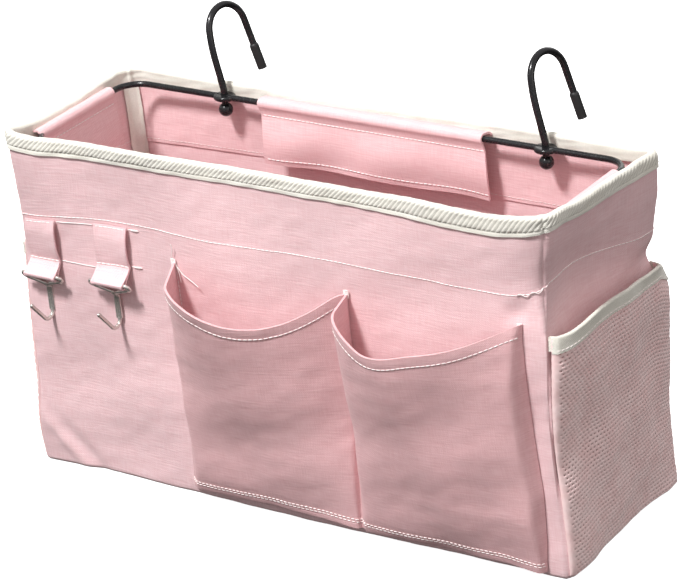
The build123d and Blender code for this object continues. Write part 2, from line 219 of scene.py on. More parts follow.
def sag(place, normal):
    """How far the cloth stands out along its normal, and how it drifts, at places on the form."""
    x, y, z = place[..., 0], place[..., 1], place[..., 2]
    facing = np.stack([-normal[..., 1], normal[..., 0], normal[..., 1], -normal[..., 0]])
    front, right, back, left = np.clip(facing, 0, 1) ** 2
    amount = front * (
        hump(x, z, *FRONT_BELLY)
        + hump(x, z, *FRONT_PUCKER)
        - 1.6 * bell(x, 120) * smooth(z, 150, 215)  # the long edge falls in below the rim
        + 1.3 * SLOW(x, z) * smooth(z, 0, 40)
        + 0.35 * MID(x, z)
        + 1.5 * crease(x, z, -172, 5)
        - 1.4 * crease(x, z, -160, 6)
    )
    amount = amount + right * (
        hump(y, z, *RIGHT_SAG) + 1.4 * SLOW(y + 400, z) + 0.5 * MID(y + 90, z)
    )
    amount = amount + back * (1.5 * SLOW(x + 300, z) + 0.4 * MID(x, z + 50))
    amount = amount + left * (hump(y, z, *LEFT_SAG) + 1.4 * SLOW(y - 300, z) + 0.4 * MID(y, z))
    amount = amount + 0.12 * FINE(x + y, z)
    drift = np.zeros(place.shape)
    for corner, moves in STRAY.items():
        sx, sy = SIGNS[corner]
        away = np.hypot(x - sx * half_length(z), y - sy * half_depth(z))
        for height, spread, reach, *move in moves:
            near = bell(away, reach) * bell(z - height, spread)
            drift = drift + near[..., None] * np.array(move)
    drift[..., 2] += front * (
        hump(x, z, *FRONT_HEM_RISE)
        + 3.2 * smooth(z, 185, 222) * (1 - smooth(x, 90, 150)) * smooth(x, -190, -150)
        + 2.4 * smooth(z, 215, 222) * smooth(x, 70, 120)
    )
    drift[..., 2] += right * (hump(y, z, *RIGHT_LIFT) + hump(y, z, *RIGHT_RIM_RISE))
    return amount, drift


def skin(wall, share, z, lift=0.0):
    """Points on a wall's outer skin, and their run along it from its middle.

    share goes from -1 to 1 along the wall, seam to seam.
    """
    along, out, first, last = WALLS[wall]
    along, out = np.array(along, float), np.array(out, float)
    share, z, lift = np.broadcast_arrays(share, np.asarray(z, float), lift)
    radius = np.where(share < 0, corner_radius(first, z), corner_radius(last, z))
    flat = half_of(wall, z) - radius
    run = np.abs(share) * (flat + radius * EIGHTH)
    turn = np.clip((run - flat) / radius, 0, EIGHTH)
    side = np.sign(share)
    a = side * (np.minimum(run, flat) + radius * np.sin(turn))
    o = reach_of(wall, z) - radius * (1 - np.cos(turn))
    place = a[..., None] * along + o[..., None] * out + z[..., None] * UP
    normal = (side * np.sin(turn))[..., None] * along + np.cos(turn)[..., None] * out
    amount, drift = sag(place, normal)
    to_seam = (1 - np.abs(share)) * (flat + radius * EIGHTH)
    amount = amount - SEAM_DIP * bell(to_seam, SEAM_DIP_WIDE)
    amount = amount + SEAM_SWELL * bell(to_seam - SEAM_SWELL_AT, SEAM_SWELL_WIDE)
    under = np.clip((FOOT_ROUND - z) / FOOT_ROUND, 0, 1)
    amount = amount - FOOT_ROUND * (1 - np.sqrt(1 - FOOT_CURL * under**2))
    place = place + normal * (amount + lift)[..., None] + drift
    place[..., 2] = np.maximum(place[..., 2], LOWEST)
    return place, side * run


def share_at(wall, along, z):
    """The share along a wall that stands at a distance from its middle."""
    first, last = WALLS[wall][2:]
    along, z = np.broadcast_arrays(np.asarray(along, float), z)
    radius = np.where(along < 0, corner_radius(first, z), corner_radius(last, z))
    return along / (half_of(wall, z) - radius * (1 - EIGHTH))


def front_at(x, z, lift=0.0):
    return skin("front", share_at("front", x, z), z, lift)[0]


# ---- making meshes ----
def new_piece(name, verts, faces, uv=None, sharp=50.0):
    """A smooth mesh object from points in mm, with cloth coordinates in metres.

    Edges that turn by more than sharp degrees stay sharp, unless it is None.
    """
    mesh = bpy.data.meshes.new(name)
    mesh.from_pydata((np.asarray(verts) * MM).tolist(), [], faces)
    if uv is not None:
        layer = mesh.uv_layers.new(name="cloth")
        loops = np.zeros(len(mesh.loops), np.int32)
        mesh.loops.foreach_get("vertex_index", loops)
        layer.data.foreach_set("uv", (np.asarray(uv)[loops] * MM).astype(np.float32).ravel())
    mesh.polygons.foreach_set("use_smooth", np.ones(len(mesh.polygons), bool))
    mesh.validate()
    if sharp is not None:
        mesh.set_sharp_from_angle(angle=math.radians(sharp))
    piece = bpy.data.objects.new(name, mesh)
    bpy.context.scene.collection.objects.link(piece)
    return piece


def grid_normals(p, cyclic):
    """Unit normals of a grid of points, rows by columns."""
    if cyclic:
        across = np.roll(p, -1, 1) - np.roll(p, 1, 1)
    else:
        across = np.gradient(p, axis=1)
    n = np.cross(across, np.gradient(p, axis=0))
    return n / np.maximum(np.linalg.norm(n, axis=-1, keepdims=True), 1e-9)


def grid_faces(rows, cols, cyclic, start=0):
    columns = np.arange(cols if cyclic else cols - 1)
    r, c = np.meshgrid(np.arange(rows - 1), columns, indexing="ij")
    d = (c + 1) % cols
    below, above = r * cols, (r + 1) * cols
    return start + np.stack([below + c, below + d, above + d, above + c], -1).reshape(-1, 4)


def shell(name, p, thick, uv, cyclic=False, relief=0.0):
    """A sheet of cloth with a grid of points in its middle, and relief on its outer face."""
    rows, cols = p.shape[:2]
    n = grid_normals(p, cyclic)
    rise = np.broadcast_to(thick / 2 + relief, (rows, cols))
    outer, inner = p + n * rise[..., None], p - n * thick / 2
    verts = np.concatenate([outer.reshape(-1, 3), inner.reshape(-1, 3)])
    count = rows * cols
    faces = [grid_faces(rows, cols, cyclic), grid_faces(rows, cols, cyclic, count)[:, ::-1]]
    edge = np.arange(cols if cyclic else cols - 1)
    after = (edge + 1) % cols
    last = (rows - 1) * cols
    top_edge, top_after = last + edge, last + after
    faces.append(np.stack([after, edge, edge + count, after + count], -1))
    faces.append(np.stack([top_edge, top_after, top_after + count, top_edge + count], -1))
    if not cyclic:
        side = np.arange(rows - 1) * cols
        below = side + cols
        faces.append(np.stack([side, below, below + count, side + count], -1))
        far, far_below = side + cols - 1, below + cols - 1
        faces.append(np.stack([far_below, far, far + count, far_below + count], -1))
    flat = uv.reshape(-1, 2)
    return new_piece(name, verts, np.concatenate(faces).tolist(), np.concatenate([flat, flat]))


def grid_uv(a, b):
    return np.stack(np.broadcast_arrays(a, b), -1).astype(float)


def measure(points):
    """Distance run along a polyline, from 0."""
    return np.concatenate([[0], np.cumsum(np.linalg.norm(np.diff(points, axis=0), axis=1))])


def soften(line, times):
    """Smooths points along a grid's rows, or along one line, in place. The ends stay."""
    for _ in range(times):
        inner = 0.5 * line[..., 1:-1, :] + 0.25 * (line[..., 2:, :] + line[..., :-2, :])
        line[..., 1:-1, :] = inner


def join(name, parts):
    """One mesh object from (points, faces) parts."""
    verts, faces, start = [], [], 0
    for v, f in parts:
        verts.append(v)
        faces.append(np.asarray(f) + start)
        start += len(v)
    return new_piece(name, np.concatenate(verts), np.concatenate(faces).tolist(), sharp=80.0)


STITCH_RINGS, TUBE_SIDES = 5, 6
TUBE_CAP = np.array([[0, 1, 2, 3], [0, 3, 4, 5]])


def tube(path, radius):
    """A closed tube along a path. radius is one number, or one a point."""
    path = np.asarray(path, float)
    radius = np.broadcast_to(radius, len(path))
    tangent = np.gradient(path, axis=0)
    tangent /= np.linalg.norm(tangent, axis=1, keepdims=True)
    helper = np.where(np.abs(tangent[:, 2:3]) < 0.8, [[0, 0, 1.0]], [[1.0, 0, 0]])
    u = np.cross(tangent, helper)
    u /= np.linalg.norm(u, axis=1, keepdims=True)
    v = np.cross(tangent, u)
    turn = np.linspace(0, TURN, TUBE_SIDES, endpoint=False)
    ring = np.cos(turn)[None, :, None] * u[:, None] + np.sin(turn)[None, :, None] * v[:, None]
    verts = (path[:, None] + ring * radius[:, None, None]).reshape(-1, 3)
    faces = grid_faces(len(path), TUBE_SIDES, True)
    far = TUBE_CAP + (len(path) - 1) * TUBE_SIDES
    return verts, np.concatenate([faces, TUBE_CAP, far[:, ::-1]])


def stitches(points, pitch=3.0, length=2.5, radius=0.36):
    """Parts for a line of stitches along a polyline: each is a short, fat bead of thread."""
    run = measure(points)
    swell = np.sqrt(np.clip(1 - np.linspace(-0.93, 0.93, STITCH_RINGS) ** 2, 0, 1))
    parts = []
    for middle in np.arange(pitch / 2, run[-1] - length / 2, pitch):
        at = middle + np.linspace(-length / 2, length / 2, STITCH_RINGS)
        line = np.stack([np.interp(at, run, points[:, k]) for k in range(3)], -1)
        parts.append(tube(line, radius * swell))
    return parts


# ---- materials ----
class Graph:
    """A material's nodes, made by short calls."""

    def __init__(self, name):
        self.material = bpy.data.materials.new(name)
        self.material.use_nodes = True
        self.nodes, self.links = self.material.node_tree.nodes, self.material.node_tree.links
        self.shader = self.nodes["Principled BSDF"]

    def put(self, socket, value):
        """Links a socket, or sets its number or colour."""
        if isinstance(value, bpy.types.NodeSocket):
            self.links.new(value, socket)
        elif socket.type == "RGBA" and len(value) == 3:
            socket.default_value = (*value, 1.0)
        else:
            socket.default_value = value

    def add(self, kind, inputs=(), **settings):
        node = self.nodes.new(kind)
        for key, value in settings.items():
            setattr(node, key, value)
        for key, value in dict(inputs).items():
            self.put(node.inputs[key], value)
        return node

    def vector(self, kind, inputs):
        return self.add("ShaderNodeVectorMath", inputs, operation=kind).outputs[0]

    def math(self, kind, a, b=0.0):
        return self.add("ShaderNodeMath", {0: a, 1: b}, operation=kind).outputs[0]

    def times(self, a, b):
        return self.math("MULTIPLY", a, b)

    def plus(self, a, b):
        return self.math("ADD", a, b)

    def cloth(self, across, along):
        """The piece's cloth coordinates, scaled by a frequency across and along."""
        uv = self.add("ShaderNodeUVMap", uv_map="cloth").outputs[0]
        return self.vector("MULTIPLY", {0: uv, 1: (across, along, 1.0)})

    def cloth_axes(self):
        """The cloth coordinates across and along, in metres."""
        return self.add("ShaderNodeSeparateXYZ", {0: self.cloth(1, 1)}).outputs[:2]

    def solid(self, scale):
        place = self.add("ShaderNodeTexCoord").outputs["Object"]
        return self.vector("SCALE", {0: place, "Scale": scale})

    def noise(self, vector, detail=2.0, rough=0.5):
        inputs = {"Vector": vector, "Scale": 1.0, "Detail": detail, "Roughness": rough}
        return self.add("ShaderNodeTexNoise", inputs).outputs["Fac"]

    def spread(self, value, low, high, to_low, to_high):
        inputs = {
            "Value": value, "From Min": low, "From Max": high, "To Min": to_low, "To Max": to_high
        }
        return self.add("ShaderNodeMapRange", inputs).outputs[0]

    def mix(self, factor, a, b):
        """A colour between two colours. Sockets 6, 7 and 2 are the node's colour ones."""
        return self.add("ShaderNodeMix", {0: factor, 6: a, 7: b}, data_type="RGBA").outputs[2]

    def finish(self, colour, roughness, height=None, strength=0.5, depth=0.0003, **constants):
        self.put(self.shader.inputs["Base Color"], colour)
        self.put(self.shader.inputs["Roughness"], roughness)
        if height is not None:
            inputs = {"Height": height, "Strength": strength, "Distance": depth}
            bump = self.add("ShaderNodeBump", inputs)
            self.links.new(bump.outputs[0], self.shader.inputs["Normal"])
        for key, value in constants.items():
            self.shader.inputs[key.replace("_", " ")].default_value = value
        return self.material


def scaled(colour, factor):
    return tuple(factor * v for v in colour)


WEFT_PITCH, WARP_PITCH, TWILL_PITCH = 0.00115, 0.00125, 0.0011  # metres


def canvas_material(name, light, dark, seed):
    """Plain-woven cotton and linen: thick uneven weft, thinner warp, soft mottling."""
    g = Graph(name)
    weft = g.noise(g.vector("ADD", {0: g.cloth(75, 950), 1: (seed, seed, 0)}), 3, 0.6)
    warp = g.noise(g.cloth(1150, 90), 2, 0.5)
    mottle = g.noise(g.solid(24), 3, 0.55)
    wobble = g.times(g.noise(g.cloth(120, 120), 2), 3.0)
    across, along = g.cloth_axes()
    pick = g.math("SINE", g.plus(g.times(along, TURN / WEFT_PITCH), wobble))
    end = g.math("SINE", g.plus(g.times(across, TURN / WARP_PITCH), wobble))
    threads = g.plus(g.times(weft, 1.6), g.times(warp, 0.8))
    height = g.plus(g.times(g.times(pick, end), 0.35), threads)
    tone = g.plus(g.times(weft, 0.65), g.times(warp, 0.35))
    thread = g.spread(tone, 0.36, 0.64, 0.0, 1.0)
    plain = g.mix(thread, dark, light)
    shade = g.mix(g.spread(mottle, 0.35, 0.65, 0.0, 0.22), plain, scaled(light, 0.86))
    rough = g.spread(thread, 0, 1, 0.92, 0.8)
    return g.finish(
        shade, rough, height, 0.55, 0.00035,
        Sheen_Weight=0.14, Sheen_Roughness=0.5, Specular_IOR_Level=0.25,
    )


# The rim tape's slanting ribs: their pitch along the tape, their slant and the heights, from
# the tape's lower edge, at which they start and end.
RIB_PITCH, RIB_SLANT = 3.2, 1.1
RIB_START, RIB_END = 2.3, 9.0


def tape_material(name, light, dark, ribbed=False):
    """Cream twill tape: fine diagonal lines, soft soiling, and shade between any ribs."""
    g = Graph(name)
    across, along = g.cloth_axes()
    twill = g.math("SINE", g.times(g.plus(across, g.times(along, 0.8)), TURN / TWILL_PITCH))
    fuzz = g.noise(g.cloth(900, 900), 3, 0.6)
    soil = g.noise(g.solid(38), 3, 0.6)
    height = g.plus(g.times(twill, 0.35), g.times(fuzz, 1.2))
    colour = g.mix(g.spread(soil, 0.4, 0.7, 0.0, 0.8), light, dark)
    colour = g.mix(g.spread(fuzz, 0.35, 0.65, 0.18, 0.0), colour, scaled(dark, 0.7))
    if ribbed:
        slanted = g.math("SUBTRACT", across, g.times(along, RIB_SLANT))
        wave = g.math("COSINE", g.times(slanted, TURN / (RIB_PITCH * MM)))
        on_ribs = g.times(
            g.math("GREATER_THAN", along, RIB_START * MM), g.math("LESS_THAN", along, RIB_END * MM)
        )
        shade = g.times(g.spread(wave, 0.35, 1.0, 0.0, 0.55), on_ribs)
        colour = g.mix(shade, colour, scaled(dark, 0.6))
    return g.finish(
        colour, g.spread(fuzz, 0.3, 0.7, 0.9, 0.75), height, 0.5, 0.0003,
        Sheen_Weight=0.3, Sheen_Roughness=0.45, Specular_IOR_Level=0.3,
    )


def plain_material(name, light, dark, rough_low, rough_high, scale, strength, **constants):
    """A surface whose tone and gloss vary with a fine noise."""
    g = Graph(name)
    speck = g.noise(g.solid(scale), 4, 0.6)
    broad = g.noise(g.solid(scale / 14), 3, 0.5)
    colour = g.mix(g.spread(broad, 0.35, 0.65, 0.0, 1.0), dark, light)
    rough = g.spread(speck, 0.3, 0.7, rough_low, rough_high)
    return g.finish(colour, rough, speck, strength, 0.00015, **constants)


CANVAS = canvas_material("canvas_pink", (0.91, 0.655, 0.675), (0.82, 0.525, 0.545), 0.0)
# The pockets' cloth is the same canvas, painted darker and deeper pink: painted shade for their
# faces, which hang forward and tilt down.
CANVAS_POCKETS_SHADED = canvas_material(
    "canvas_pink_pockets_painted_shade", (0.81, 0.515, 0.53), (0.72, 0.405, 0.42), 2.1
)
# The inside cloth is the same canvas, painted a little deeper pink: painted reddish bounce light
# from the pink walls around it.
CANVAS_IN_PAINTED_BOUNCE = canvas_material("canvas_pink_inside_painted_bounce", (0.91, 0.63, 0.645), (0.82, 0.50, 0.52), 4.3)
TAPE = tape_material("tape_cream", (0.83, 0.81, 0.735), (0.735, 0.71, 0.62))
TAPE_RIBBED = tape_material(
    "tape_ribbed", (0.85, 0.83, 0.755), (0.75, 0.725, 0.635), ribbed=True
)
MESH = plain_material(
    "mesh_pink", (0.97, 0.735, 0.725), (0.93, 0.65, 0.64), 0.75, 0.95, 1400, 0.5,
    Sheen_Weight=0.3, Sheen_Roughness=0.5,
)
THREAD = plain_material(
    "thread_white", (0.95, 0.88, 0.86), (0.88, 0.78, 0.76), 0.5, 0.75, 2500, 0.4,
    Sheen_Weight=0.2, Sheen_Roughness=0.4,
)
BLACK = plain_material(
    "wire_black", (0.014, 0.014, 0.016), (0.006, 0.006, 0.007), 0.16, 0.34, 700, 0.12,
    Coat_Weight=0.2, Coat_Roughness=0.12, Specular_IOR_Level=0.35,
)
RUBBER = plain_material(
    "rubber_black", (0.02, 0.02, 0.021), (0.01, 0.01, 0.011), 0.38, 0.6, 900, 0.25
)
CHROME = plain_material(
    "wire_bright", (0.74, 0.71, 0.67), (0.58, 0.55, 0.51), 0.16, 0.28, 600, 0.02, Metallic=0.75
)
BOARD = plain_material("board_grey", (0.6, 0.6, 0.58), (0.5, 0.5, 0.48), 0.6, 0.8, 400, 0.3)


def paint(piece, material):
    piece.data.materials.clear()
    piece.data.materials.append(material)


def settle(piece, material, slot, *nodes):
    """Gives a finished piece of the bag its material, puts it on the bag's body and hides the CAD
    nodes it stands for. The slot is not used.
    """
    paint(piece, material)
    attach(piece, "bag")
    if nodes:
        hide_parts(*nodes)


# ---- the four walls and what lines them ----
WALL_COLS = {"front": 231, "back": 181, "right": 91, "left": 91}
WALL_Z = np.concatenate(
    [np.linspace(0, FOOT_ROUND, 6)[:-1], np.linspace(FOOT_ROUND, WALL_TOP, 96)]
)
for wall, cols in WALL_COLS.items():
    p, run = skin(wall, np.linspace(-1, 1, cols)[None, :], WALL_Z[:, None], -CLOTH / 2)
    piece = shell(f"wall_{wall}", p, CLOTH, grid_uv(run, WALL_Z[:, None]))
    settle(piece, CANVAS, "canvas", f"{wall}_panel")
    width = 2 * float(half_of(wall, WALL_TOP))


def ring(z, lift, per_wall):
    """Points round the whole bag, their run round it, and the whole way round.

    Rows follow z and lift, and columns go round from the front left corner.
    """
    rows, runs, start = [], [], 0.0
    for wall in WALLS:
        share = np.linspace(-1, 1, per_wall[wall], endpoint=False)
        p, run = skin(wall, share[None, :], np.asarray(z)[:, None], np.asarray(lift)[:, None])
        rows.append(p)
        runs.append(start + run[-1] - run[-1][0])
        start = runs[-1][-1] + (run[-1][1] - run[-1][0])
    return np.concatenate(rows, 1), np.concatenate(runs), start


FACING_Z = np.linspace(HEM - 1.5, WALL_TOP - 1, 24)
FACING_UV_UP = 400  # keeps its weave apart from the walls'
p, run, around = ring(FACING_Z, np.full(len(FACING_Z), -CLOTH - FACING / 2 - 0.1), WALL_COLS)
uv = grid_uv(run[None, :], FACING_Z[:, None] + FACING_UV_UP)
piece = shell("facing", p, FACING, uv, cyclic=True)
settle(piece, CANVAS_IN_PAINTED_BOUNCE, "canvas", "top_facing")


# ---- the bottom: outer cloth and the lining over the board ----
def floor_grid(inset, z, count=60, rows=24):
    """A filled plan of the bag: columns run round it, rows run from its edge to its middle."""
    per_wall = {"front": count, "right": count // 2, "back": count, "left": count // 2}
    edge = ring([z], [-inset], per_wall)[0][0]
    edge[:, 2] = z
    middle = edge.copy()
    middle[:, 1] = 0
    middle[:, 0] = np.clip(middle[:, 0], -HIP, HIP)
    t = np.linspace(0, 1, rows)[:, None, None]
    return edge[None] * (1 - t) + middle[None] * t


LINING_Z, LINING_RISE = 4.4, 0.8
outer_floor, lining = floor_grid(0.4, 0.75), floor_grid(1.7, LINING_Z)
x, y = lining[..., 0], lining[..., 1]
lining[..., 2] += LINING_RISE + 0.35 * MID(x, y) + 0.5 * SLOW(x, y)
lining[..., 2] = np.maximum(lining[..., 2], LINING_Z + 0.1)  # it lies on the board
for name, p, thick, node, material in (
    ("bottom_cloth", outer_floor, CLOTH, "bottom_panel", CANVAS),
    ("bottom_lining_cloth", lining, FACING, "bottom_lining", CANVAS_IN_PAINTED_BOUNCE),
):
    piece = shell(name, p, thick, p[..., :2], cyclic=True)
    settle(piece, material, "canvas", node)

# ---- the tape over the rim, with its slanting ribs ----
RIM_COLS = {"front": 860, "right": 290, "back": 860, "left": 290}
TAPE_LOW = 8.6  # how far below the wall's top the tape reaches
TAPE_OUT, TAPE_IN = 0.75, -(CLOTH + FACING + 1.2)  # its middle, from the wall's outer skin
TAPE_SHOULDER = 1.2  # how far below the wall's top it starts to turn over
FACE_ROWS, TURN_ROWS, BACK_ROWS = 14, 11, 10
turn = np.linspace(0, math.pi, TURN_ROWS)
middle, half = (TAPE_OUT + TAPE_IN) / 2, (TAPE_OUT - TAPE_IN) / 2
profile_lift = np.concatenate(
    [np.full(FACE_ROWS, TAPE_OUT), middle + half * np.cos(turn), np.full(BACK_ROWS, TAPE_IN)]
)
profile_z = WALL_TOP + np.concatenate(
    [
        np.linspace(-TAPE_LOW, -TAPE_SHOULDER, FACE_ROWS),
        -0.9 + 1.5 * np.sin(turn),
        np.linspace(-TAPE_SHOULDER, 0.8 - TAPE_LOW, BACK_ROWS),
    ]
)
p, run, around = ring(profile_z, profile_lift, RIM_COLS)
height = measure(np.stack([profile_lift, profile_z], -1))[:, None]
on_ribs = smooth(height, RIB_START - 0.3, RIB_START + 0.4)
faded = 1 - smooth(height, RIB_END - 1.0, RIB_END + 1.0)
phase = (run[None, :] - RIB_SLANT * height) / RIB_PITCH
groove = bell(phase - np.round(phase), 0.17)
relief = on_ribs * (0.4 - 0.42 * faded * groove) - 0.4 * bell(height - RIB_START, 0.4)
relief = relief + 0.12 * FINE(run[None, :], height * 3)
piece = shell("rim_tape", p, 0.8, grid_uv(run[None, :], height), cyclic=True, relief=relief)
settle(piece, TAPE_RIBBED, "tape", "rim_binding")

# ---- the tapes over the corner seams, inside ----
SEAM_TAPE_HALF, SEAM_TAPE_WIDE = 9.0, 13  # from the form's corner, and across the cloth
for corner in SIGNS:
    wall_a, wall_b = [w for w in WALLS if corner in WALLS[w][2:]]
    rows = np.linspace(7, WALL_TOP - TAPE_LOW + 3, 60)
    lift = -(CLOTH + np.where(rows > HEM, FACING + 0.2, 0.0) + 0.9)[:, None]
    strips = []
    for wall in (wall_a, wall_b):
        end = -1 if WALLS[wall][2] == corner else 1
        near = share_at(wall, half_of(wall, rows) - SEAM_TAPE_HALF, rows)
        t = np.linspace(0, 1, 7)
        share = end * (np.minimum(near, 0.999)[:, None] * (1 - t) + t)
        strips.append(skin(wall, share, rows[:, None], lift)[0])
    if end > 0:  # the second wall ends at this corner, so the first one starts there
        strips.reverse()
    p = np.concatenate([strips[0], strips[1][:, ::-1][:, 1:]], 1)
    soften(p, 3)
    across = np.linspace(0, SEAM_TAPE_WIDE, p.shape[1])
    piece = shell(f"seam_tape_{corner}", p, 0.7, grid_uv(across[None, :], rows[:, None]))
    settle(piece, TAPE, "tape", f"corner_tape_{corner}")

# ---- the sleeves: a strip round the wire frame, hanging inside each wall ----
WIRE_RADIUS = 2.0
FRAME = node_box("wire_frame")
ROD = np.array([FRAME[1][0], -FRAME[0][1], FRAME[0][2] + 2 * WIRE_RADIUS]) - WIRE_RADIUS
SLEEVE_ROUND, SLEEVE_THICK = 3.1, 1.3
SLEEVE_STITCH = 7.5  # how far below the wire's middle the strip is stitched to itself
SLEEVE_LOW = 177.0
SLEEVE_STEP = 2.2


def sleeve(name, wall, start, end, bulge, tuck, seed):
    """A folded strip: from the rim over the wire and down, stitched below the wire.

    It gives the two lines that are stitched.
    """
    cols = int(abs(end - start) / SLEEVE_STEP)
    along = np.linspace(start, end, cols)
    reach = ROD[1] if wall in LONG_WALLS else ROD[0]
    stand = reach_of(wall, ROD[2]) - reach
    turn = np.linspace(0.5 * math.pi, 1.25 * math.pi, 9)
    stitch = ROD[2] - SLEEVE_STITCH
    below = np.linspace(0, 1, 18)[1:]
    hang = -0.6 - 2.0 * bulge * np.sin(math.pi * below) ** 1.2 + below
    out = np.array([stand * 0.72, stand * 0.45, *(SLEEVE_ROUND * np.cos(turn)), -1.5, -0.6, *hang])
    over = ROD[2] + SLEEVE_ROUND * np.sin(turn)
    fall = stitch + (SLEEVE_LOW - stitch) * below
    up = np.array([ROD[2] - 0.5, ROD[2] + 2.2, *over, ROD[2] - 4.6, stitch, *fall])
    depth = np.clip((stitch - up) / (stitch - SLEEVE_LOW), 0, 1)[:, None]
    wave = ripples(seed, 6, 40, 110)
    out = out[:, None] + depth * (1.6 * wave(along[None, :], up[:, None]) - tuck)
    up = up[:, None] + depth * 0.8 * wave(along[None, :] + 60, 0.0)
    middle, half = (start + end) / 2, (end - start) / 2
    curl = 0.9 * np.sin(np.linspace(0, 1.1 * TURN, len(out)))[:, None]
    a = along[None, :] + curl * (np.abs(along - middle)[None, :] / half) ** 6
    direction, outward = np.array(WALLS[wall][0], float), np.array(WALLS[wall][1], float)
    p = a[..., None] * direction + (reach + out)[..., None] * outward + up[..., None] * UP
    drop = measure(np.stack([out[:, 0], up[:, 0]], -1))
    piece = shell(name, p, SLEEVE_THICK, grid_uv(along[None, :], drop[:, None]))
    settle(piece, CANVAS_IN_PAINTED_BOUNCE, "canvas", name.replace("_cloth", ""))
    row = int(np.argmin(np.abs(up[:, cols // 2] - stitch)))
    inward = -outward * 0.9
    return p[row] + inward, p[-3] + inward


sleeve_lines = []
for name, wall, start, end, bulge, tuck, seed in (
    ("back_sleeve_cloth", "back", -84.0, 81.0, 1.2, 0.0, 21),
    ("front_sleeve_cloth", "front", -81.0, 86.0, 1.0, 0.0, 22),
    ("left_sleeve_cloth", "left", -32.0, 45.0, 0.8, 2.0, 23),
    ("right_sleeve_cloth", "right", -32.0, 32.0, 0.8, 6.0, 24),
):
    sleeve_lines += sleeve(name, wall, start, end, bulge, tuck, seed)


# ---- the front pockets: one strip folded into two bellows ----
def middle_fold(share):
    """The left pocket's right fold: off the wall, in from its seam, and the seam's own shift."""
    return 3.0 + 2.0 * share * (1 - share), 1.5 + 1.5 * share, -0.6


def end_fold(share):
    """The right pocket's right fold, in the same way. Its seam runs out below its top."""
    stand = np.interp(
        share, [0, 0.22, 0.34, 0.52, 0.82, 0.95, 1.04], [0.2, 0.72, 0.84, 1, 0.96, 0.6, 0.1]
    )
    shift = np.interp(share, (0, 0.33, 1.0), (5.0, 8.0, 0.0))
    return 2.4 + 10.0 * stand, 0.6 + 3.6 * stand, shift


# Each pocket: its two seams, its mouth's and its foot's heights along the strip, how far its
# left fold stands in from its seam at shares of its height, its right fold, and how far its
# face bows out and where along it.
POCKETS = [
    dict(
        left=-73.0, right=54.0, mouth=[154, 152, 147, 142, 139, 139, 142.5, 149.5, 159],
        foot=[6.8, 8.9, 7.5, 5.1], fold=middle_fold, bow=23.0, peak=0.42,
        left_fold=([0, 0.12, 0.3, 0.66, 0.9, 1.05], [5.0, 7.6, 6.5, 4.2, 7.5, 9.6]),
    ),
    dict(
        left=54.0, right=175.0, mouth=[157, 148, 141.5, 141.5, 145, 147.5, 150.5, 155.5, 161],
        foot=[5.4, 6.8, 6.2, 4.1], fold=end_fold, bow=20.5, peak=0.36,
        left_fold=([0, 0.12, 0.4, 0.66, 1.05], [4.0, 5.6, 4.6, 3.6, 3.8]),
    ),
]
SEAM_TOP = 158.5
POCKET_HIGH = 150  # what the shares of a pocket's height are shares of
MOUTH_SOFT = 9  # how many columns the mouth's corners are averaged over
GUSSET_STEPS, FRONT_STEPS, END_STEPS, POCKET_ROWS = 10, 90, 6, 56


def pocket_grid(spec):
    """One pocket's cloth, as x, distance off the wall, and z.

    Columns follow the strip from seam to seam, and rows go up to the mouth.
    """
    t_gusset = np.linspace(0, 1, GUSSET_STEPS, endpoint=False)
    t_front = np.linspace(0, 1, FRONT_STEPS)
    t_end = np.linspace(0, 1, END_STEPS + 1)[1:]
    mouth_front = np.interp(t_front, np.linspace(0, 1, len(spec["mouth"])), spec["mouth"])
    padded = np.pad(mouth_front, MOUTH_SOFT // 2, "edge")
    mouth_front = np.convolve(padded, np.ones(MOUTH_SOFT) / MOUTH_SOFT, "valid")
    first, last = mouth_front[0], mouth_front[-1]
    mouth = np.concatenate(
        [SEAM_TOP + (first - SEAM_TOP) * t_gusset, mouth_front, np.full(END_STEPS, last)]
    )
    foot = np.interp(np.linspace(0, 1, len(mouth)), [0, 0.5, 0.8, 1], spec["foot"])[None, :]
    v = np.linspace(0, 1, POCKET_ROWS)[:, None]
    z = foot + (mouth[None, :] - foot) * v
    share = np.clip((z - foot) / POCKET_HIGH, 0, 1.1)
    rise = share**0.75
    left_out, left_in = 3.0 + 18.2 * rise, np.interp(share, *spec["left_fold"])
    right_out, right_in, shift = spec["fold"](share)
    bow = 0.5 + spec["bow"] * rise
    kind = np.repeat([0, 1, 2], [GUSSET_STEPS, FRONT_STEPS, END_STEPS])[None, :]
    kinds = [kind == 0, kind == 1]
    t = np.concatenate([t_gusset, t_front, t_end])[None, :]
    x_left = spec["left"] + 0.6
    fold_l, fold_r = x_left + left_in, spec["right"] + shift - right_in
    skew = t ** (math.log(0.5) / math.log(spec["peak"]))
    face = left_out + (right_out - left_out) * t + bow * np.sin(math.pi * skew) ** 0.95
    x = np.select(
        kinds, [x_left + left_in * t, fold_l + (fold_r - fold_l) * t], fold_r + right_in * t
    )
    out = np.select(kinds, [left_out * t, face], right_out * (1 - t))
    waves = MID(x + 900, z) * np.clip(out / 10, 0, 1) + SLOW(x + 600, z) * np.clip(out / 14, 0, 1)
    return x, out + 0.7 + 0.5 * waves, z


grids = [pocket_grid(spec) for spec in POCKETS]
x, out, pocket_z = (np.concatenate([a, b], 1) for a, b in zip(*grids))
pocket_p = front_at(x, pocket_z, 0.0)
pocket_p[..., 1] -= out
soften(pocket_p, 2)
below_top = pocket_z[-1][None, :] - pocket_z
above_foot = pocket_z - pocket_z[0][None, :]
hem = smooth(-below_top, -7.0, -6.2) * 0.45 - 0.35 * bell(below_top - 6.6, 0.7)
foot_hem = 0.35 * smooth(-above_foot, -4.8, -4.2) - 0.35 * bell(above_foot - 4.6, 0.7)
widths = measure(pocket_p[-1])
uv = grid_uv(widths[None, :], pocket_z)
piece = shell("front_pocket_cloth", pocket_p, 1.0, uv, relief=hem + foot_hem)
